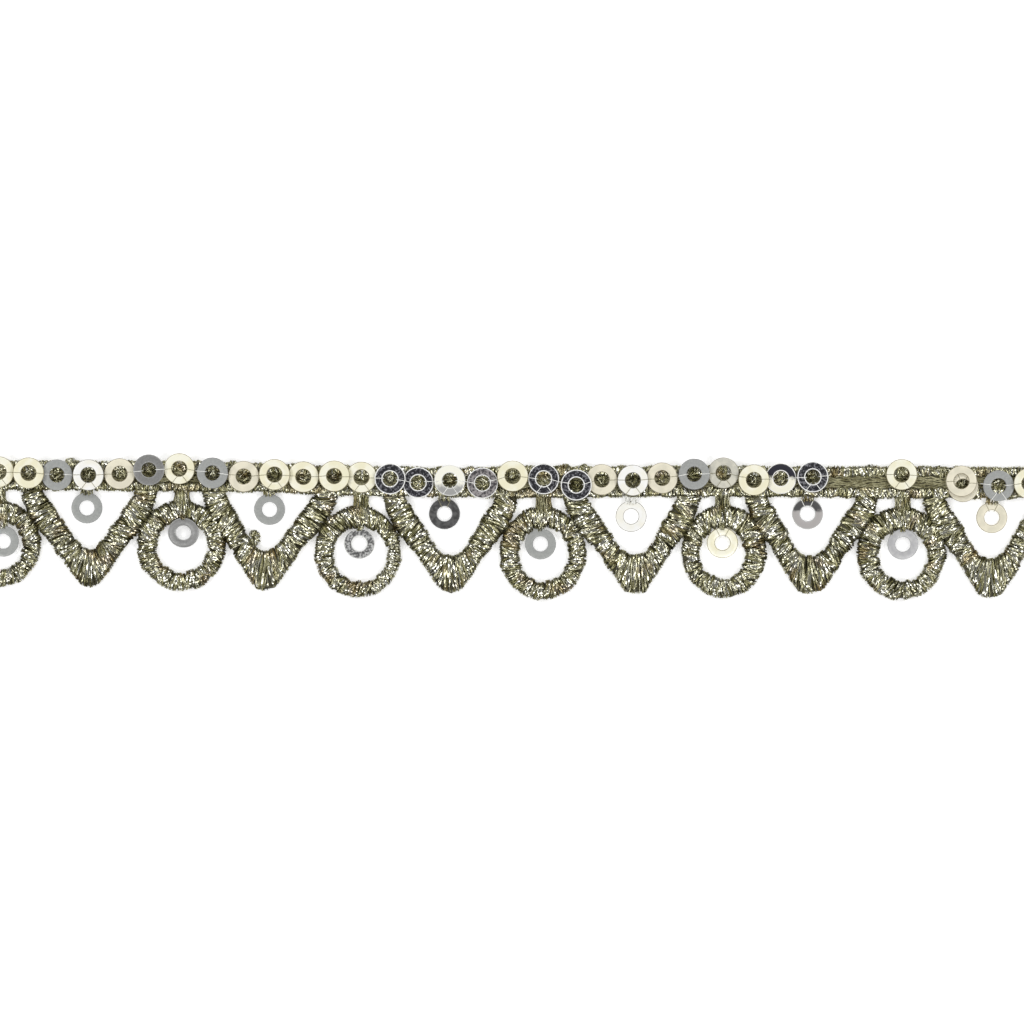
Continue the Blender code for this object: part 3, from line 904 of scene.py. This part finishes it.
slots = {row["node"]: row["material_slot"] for row in frame["record"]["subparts"]}
sequin_tones = {f"sequin_{n:02d}": tone for n, tone in enumerate(HEADER_REFLECTIONS, 1)}
sequin_tones.update(DROP_REFLECTIONS)
seats = {node: sew_sequin(node, tone, slots[node]) for node, tone in sequin_tones.items()}


# The knots: where the needle comes up through each sequin's hole, it pulls a small tuft of
# the header's thread up with it.
KNOT_STRANDS = 12
KNOT_REACH = 0.85

tufts = []
for number in range(1, len(HEADER_REFLECTIONS) + 1):
    rng = np.random.default_rng(450 + number)
    middle = seats[f"sequin_{number:02d}"].translation
    heading = rng.uniform(0.0, math.pi, KNOT_STRANDS)
    offset = rng.uniform(-0.55, 0.55, KNOT_STRANDS)
    peak = rng.uniform(0.92, 1.12, KNOT_STRANDS)
    twist = rng.uniform(-2.0, 2.0, KNOT_STRANDS)

    def hump(share):
        reach = KNOT_REACH * (2.0 * share[None, :] - 1.0)
        along = middle.x + reach * np.cos(heading)[:, None] - (offset * np.sin(heading))[:, None]
        above = middle.y + reach * np.sin(heading)[:, None] + (offset * np.cos(heading))[:, None]
        up = 0.55 + (peak[:, None] - 0.55) * np.sin(math.pi * share[None, :]) ** 0.6 + 0.0 * along
        return np.stack([along, above, up], -1)

    sideways = np.stack([-np.sin(heading), np.cos(heading), np.zeros(KNOT_STRANDS)], -1)[:, None, :]
    width = STRAND_WIDTH * rng.uniform(0.7, 1.1, KNOT_STRANDS)
    points = lay_strand(SHORT, hump, sideways, width, STRAND_THICKNESS,
                       lambda share: twist[:, None] * (0.4 + share[None, :]))
    tufts.append((SHORT, points, random_tones(rng, KNOT_STRANDS)))
knots = thread_mesh("sequin_knots", tufts)
finish_piece(knots, metallic, "metallic_thread")


# The sewing threads: a fine clear thread that runs from the hole of each sequin to the next
# one, and two more down from the hole where a hanging sequin is tied on. The one clear thread is
# painted in two copies: pale, a painted highlight, on dark film, and dull olive, painted shade, on pale film.
Stitching = namedtuple("Stitching", "radius low high")
# The light copy is a painted highlight and the dark copy painted shade, both of the same clear thread.
STITCHING = {
    "light": Stitching(0.048, (0.85, 0.85, 0.80), (0.95, 0.95, 0.92)),
    "dark": Stitching(0.034, (0.24, 0.225, 0.14), (0.40, 0.37, 0.26)),
}
# On these tones the clear thread takes its pale copy, a painted highlight; elsewhere its dull copy, painted shade.
LIGHT_ON = ("dark", "smoked", "mid_grey", "grey", "two_tone", "mottled", "veiled", "smoky")
DIP = 0.30
NEAR = 5.0
LINKS = (2, 5, 8, 11, 14, 17, 20, 23, 26, 29, 30, 33)


def stitch_route(seat, start, end, past):
    """A stitch that comes up through the hole, crosses the film and goes down past its edge."""
    face = FILM / 2 + 0.03
    inward = Vector(start) * 0.82
    outward = Vector(end) * ((SEQUIN_RADIUS + past) / SEQUIN_RADIUS)
    local = [
        (inward.x, inward.y, face - DIP),
        (start[0] * 0.97, start[1] * 0.97, face - 0.03),
        (start[0] * 1.06, start[1] * 1.06, face + 0.01),
        ((start[0] + end[0]) / 2, (start[1] + end[1]) / 2, face),
        (end[0] * 0.97, end[1] * 0.97, face + 0.01),
        (end[0] * 1.03, end[1] * 1.03, face - 0.05),
        (outward.x, outward.y, face - DIP),
    ]
    return [seat @ Vector(point) for point in local]


def on_circle(radius, degrees):
    angle = math.radians(degrees)
    return (radius * math.cos(angle), radius * math.sin(angle))


def on_film(seat, place):
    """The point on a sequin's upper face over a place on the trim, in mm."""
    up = seat.col[2].to_3d()
    middle = seat.translation + up * FILM / 2
    shift = Vector(place) - middle.xy
    return Vector((*place, middle.z - shift.dot(up.xy) / up.z))


def running_stitch(here, there, offset):
    """The half of a stitch between two holes that lies on this sequin, out to the gap's middle."""
    line = there.translation.xy - here.translation.xy
    distance = line.length
    aim = line / distance
    across = Vector((-aim.y, aim.x)) * offset
    above = here.translation.z > there.translation.z
    edge = max(SEQUIN_RADIUS, distance / 2) if above else min(distance - SEQUIN_RADIUS, distance / 2)
    path = []
    for out, rise in ((0.80, -DIP), (0.97, -0.02), (1.04, 0.03), (edge * 0.6, 0.03), (edge - 0.03, 0.03)):
        place = here.translation.xy + aim * out + across * (1.0 - out / edge)
        path.append(on_film(here, place) + Vector((0.0, 0.0, rise)))
    if above and distance < 2 * SEQUIN_RADIUS:
        place = here.translation.xy + aim * (edge + 0.04)
        path.append(on_film(there, place) + Vector((0.0, 0.0, 0.03)))
    elif distance >= 2 * SEQUIN_RADIUS:
        middle = (here.translation.xy + there.translation.xy) / 2
        level = (on_film(here, middle).z + on_film(there, middle).z) / 2
        path.append(Vector((*middle, level)))
    return path


routes = {"light": [], "dark": []}
rng = np.random.default_rng(500)
order = sorted(node for node in sequin_tones if node.startswith("sequin") and node != "sequin_31")
for node, tone in sequin_tones.items():
    seat = seats[node]
    shade = "light" if tone in LIGHT_ON else "dark"
    if node in order:
        number = order.index(node)
        for step, middle in ((-1, 180.0), (1, 0.0)):
            beside = order[number + step] if 0 <= number + step < len(order) else None
            near = beside and (seats[beside].translation - seat.translation).length < NEAR
            offset = rng.uniform(-0.22, 0.22)
            if near:
                routes[shade].append(running_stitch(seat, seats[beside], offset))
            else:
                turned = middle + 20.0 * offset
                ends = on_circle(HOLE_RADIUS, turned), on_circle(SEQUIN_RADIUS, turned)
                routes[shade].append(stitch_route(seat, *ends, 0.12))
        if int(node[-2:]) in LINKS:
            for middle, spread in ((-106.0, -10.0), (-66.0, 6.0)):
                ends = on_circle(HOLE_RADIUS, middle), on_circle(SEQUIN_RADIUS, middle + spread)
                routes[shade].append(stitch_route(seat, *ends, 0.12))
    elif tone in ("cream", "beige", "smoky", "charcoal"):
        for middle, spread in ((112.0, 2.0), (68.0, -2.0)):
            ends = on_circle(HOLE_RADIUS, middle), on_circle(SEQUIN_RADIUS, middle + spread)
            routes[shade].append(stitch_route(seat, *ends, 0.12))


def sew(name, paths, finish, radius):
    """Makes all stitches of one shade as one curve of fine round thread, and meshes it."""
    curve = bpy.data.curves.new(name, "CURVE")
    curve.dimensions = "3D"
    curve.bevel_depth = radius * MM
    curve.bevel_resolution = 1
    curve.use_fill_caps = True
    for path in paths:
        spline = curve.splines.new("POLY")
        spline.points.add(len(path) - 1)
        for point, place in zip(spline.points, path):
            point.co = (*(place * MM), 1.0)
    piece = bpy.data.objects.new(name, curve)
    bpy.context.scene.collection.objects.link(piece)
    activate(piece)
    bpy.ops.object.convert(target="MESH")
    piece = bpy.context.object
    piece.data.shade_smooth()
    finish_piece(piece, finish, "metallic_thread")


clear_thread = {}
for shade, stitching in STITCHING.items():
    clear_thread[shade] = Finish("stitch_" + shade, Roughness=0.3)
    fleck = clear_thread[shade].speckle(0.4)
    clear_thread[shade].drive(Base_Color=clear_thread[shade].blend(fleck, stitching.low, stitching.high))
    sew("stitches_" + shade, routes[shade], clear_thread[shade], stitching.radius)


# The bridges: the thread that holds each hanging sequin under the header or the ring's bar.
# One of them is of clear thread, in its pale painted-highlight copy, and the rest are of the metallic one.
CLEAR_BRIDGE = 4
for n, point in enumerate(POINTS, 1):
    rng = np.random.default_rng(600 + n)
    seat = seats[f"point_drop_{n}"]
    middle = seat.translation
    line, height = header_at(middle.x)
    top = (middle.x, line - height / 2 + 0.4)
    bottom = (middle.x, middle.y + SEQUIN_RADIUS - 0.35)
    strands = bundle(rng, top, bottom, (0.8, 0.65, 0.75), ((0.0, 0.78), (1.0, 0.72)), 14)
    threads = thread_mesh(f"drop_bridge_{n}", [strands])
    finish_piece(threads, clear_thread["light"] if n == CLEAR_BRIDGE else metallic, "metallic_thread")

TIE_STRANDS = 12
for n, ring in enumerate(RINGS, 1):
    rng = np.random.default_rng(650 + n)
    seat = seats[f"ring_drop_{n}"]
    middle = seat.translation
    edge = on_film(seat, (middle.x, middle.y + SEQUIN_RADIUS))
    top = (middle.x, max(ring.hole_above + ring.hole_high, edge.y) + 0.45)
    heights = ((0.0, 1.25), (0.6, max(edge.z + 0.08, 0.95)), (1.0, edge.z + 0.06))
    strands = bundle(rng, top, (middle.x, edge.y - 0.30), (0.75, 0.5, 0.42), heights, TIE_STRANDS)
    threads = thread_mesh(f"ring_bridge_{n}", [strands])
    finish_piece(threads, metallic, "metallic_thread")


# The table top and the light: a pale surface that also glows faintly, painted light that lifts
# the shadows cast on it, and a ring of soft boxes round a copy stand, well off the line of view,
# so that flat film keeps the tone painted into it and the twisted strands glint.
FLOOR_SIDE = 3.0
LIGHTS = 8
LIGHT_DISTANCE = 0.90
LIGHT_SIDE = 0.22
LIGHT_SLANT = 42.0
LIGHT_POWER = 1.25

bpy.ops.object.select_all(action="DESELECT")
bpy.ops.mesh.primitive_plane_add(size=FLOOR_SIDE, location=(0.0, 0.0, 0.0))
floor = bpy.context.object
floor.name = "floor"
# The floor's emission is painted light: it glows though it is no lamp, so that shadows on it fade.
glowing_floor_finish = Finish("pale_glowing_floor", Base_Color=(0.9, 0.9, 0.9, 1.0), Roughness=0.9, Emission_Strength=0.35)
glowing_floor_finish.surface.inputs["Emission Color"].default_value = (1.0, 1.0, 1.0, 1.0)
floor.data.materials.append(glowing_floor_finish.material)

for k in range(LIGHTS):
    light_data = bpy.data.lights.new(f"softbox_{k}", "AREA")
    light_data.shape = "SQUARE"
    light_data.size = LIGHT_SIDE
    light_data.energy = LIGHT_POWER
    softbox = bpy.data.objects.new(f"softbox_{k}", light_data)
    bpy.context.scene.collection.objects.link(softbox)
    azimuth = 2.0 * math.pi * (k + 0.5) / LIGHTS
    slant = math.radians(LIGHT_SLANT)
    aim = Vector((math.sin(slant) * math.cos(azimuth), math.sin(slant) * math.sin(azimuth), math.cos(slant)))
    softbox.location = aim * LIGHT_DISTANCE
    softbox.rotation_euler = aim.to_track_quat("Z", "Y").to_euler()
    softbox.visible_camera = False

world = bpy.data.worlds.new("room")
bpy.context.scene.world = world
world.use_nodes = True
room = world.node_tree
coordinates = room.nodes.new("ShaderNodeTexCoord")
split = room.nodes.new("ShaderNodeSeparateXYZ")
ramp = room.nodes.new("ShaderNodeValToRGB")
room.links.new(coordinates.outputs["Generated"], split.inputs[0])
room.links.new(split.outputs["Z"], ramp.inputs["Fac"])
room.links.new(ramp.outputs["Color"], room.nodes["Background"].inputs["Color"])
ramp.color_ramp.elements[0].position = 0.0
ramp.color_ramp.elements[0].color = (0.13, 0.13, 0.13, 1.0)
ramp.color_ramp.elements[1].position = 1.0
ramp.color_ramp.elements[1].color = (0.22, 0.22, 0.22, 1.0)
bpy.context.scene.view_settings.view_transform = "Standard"
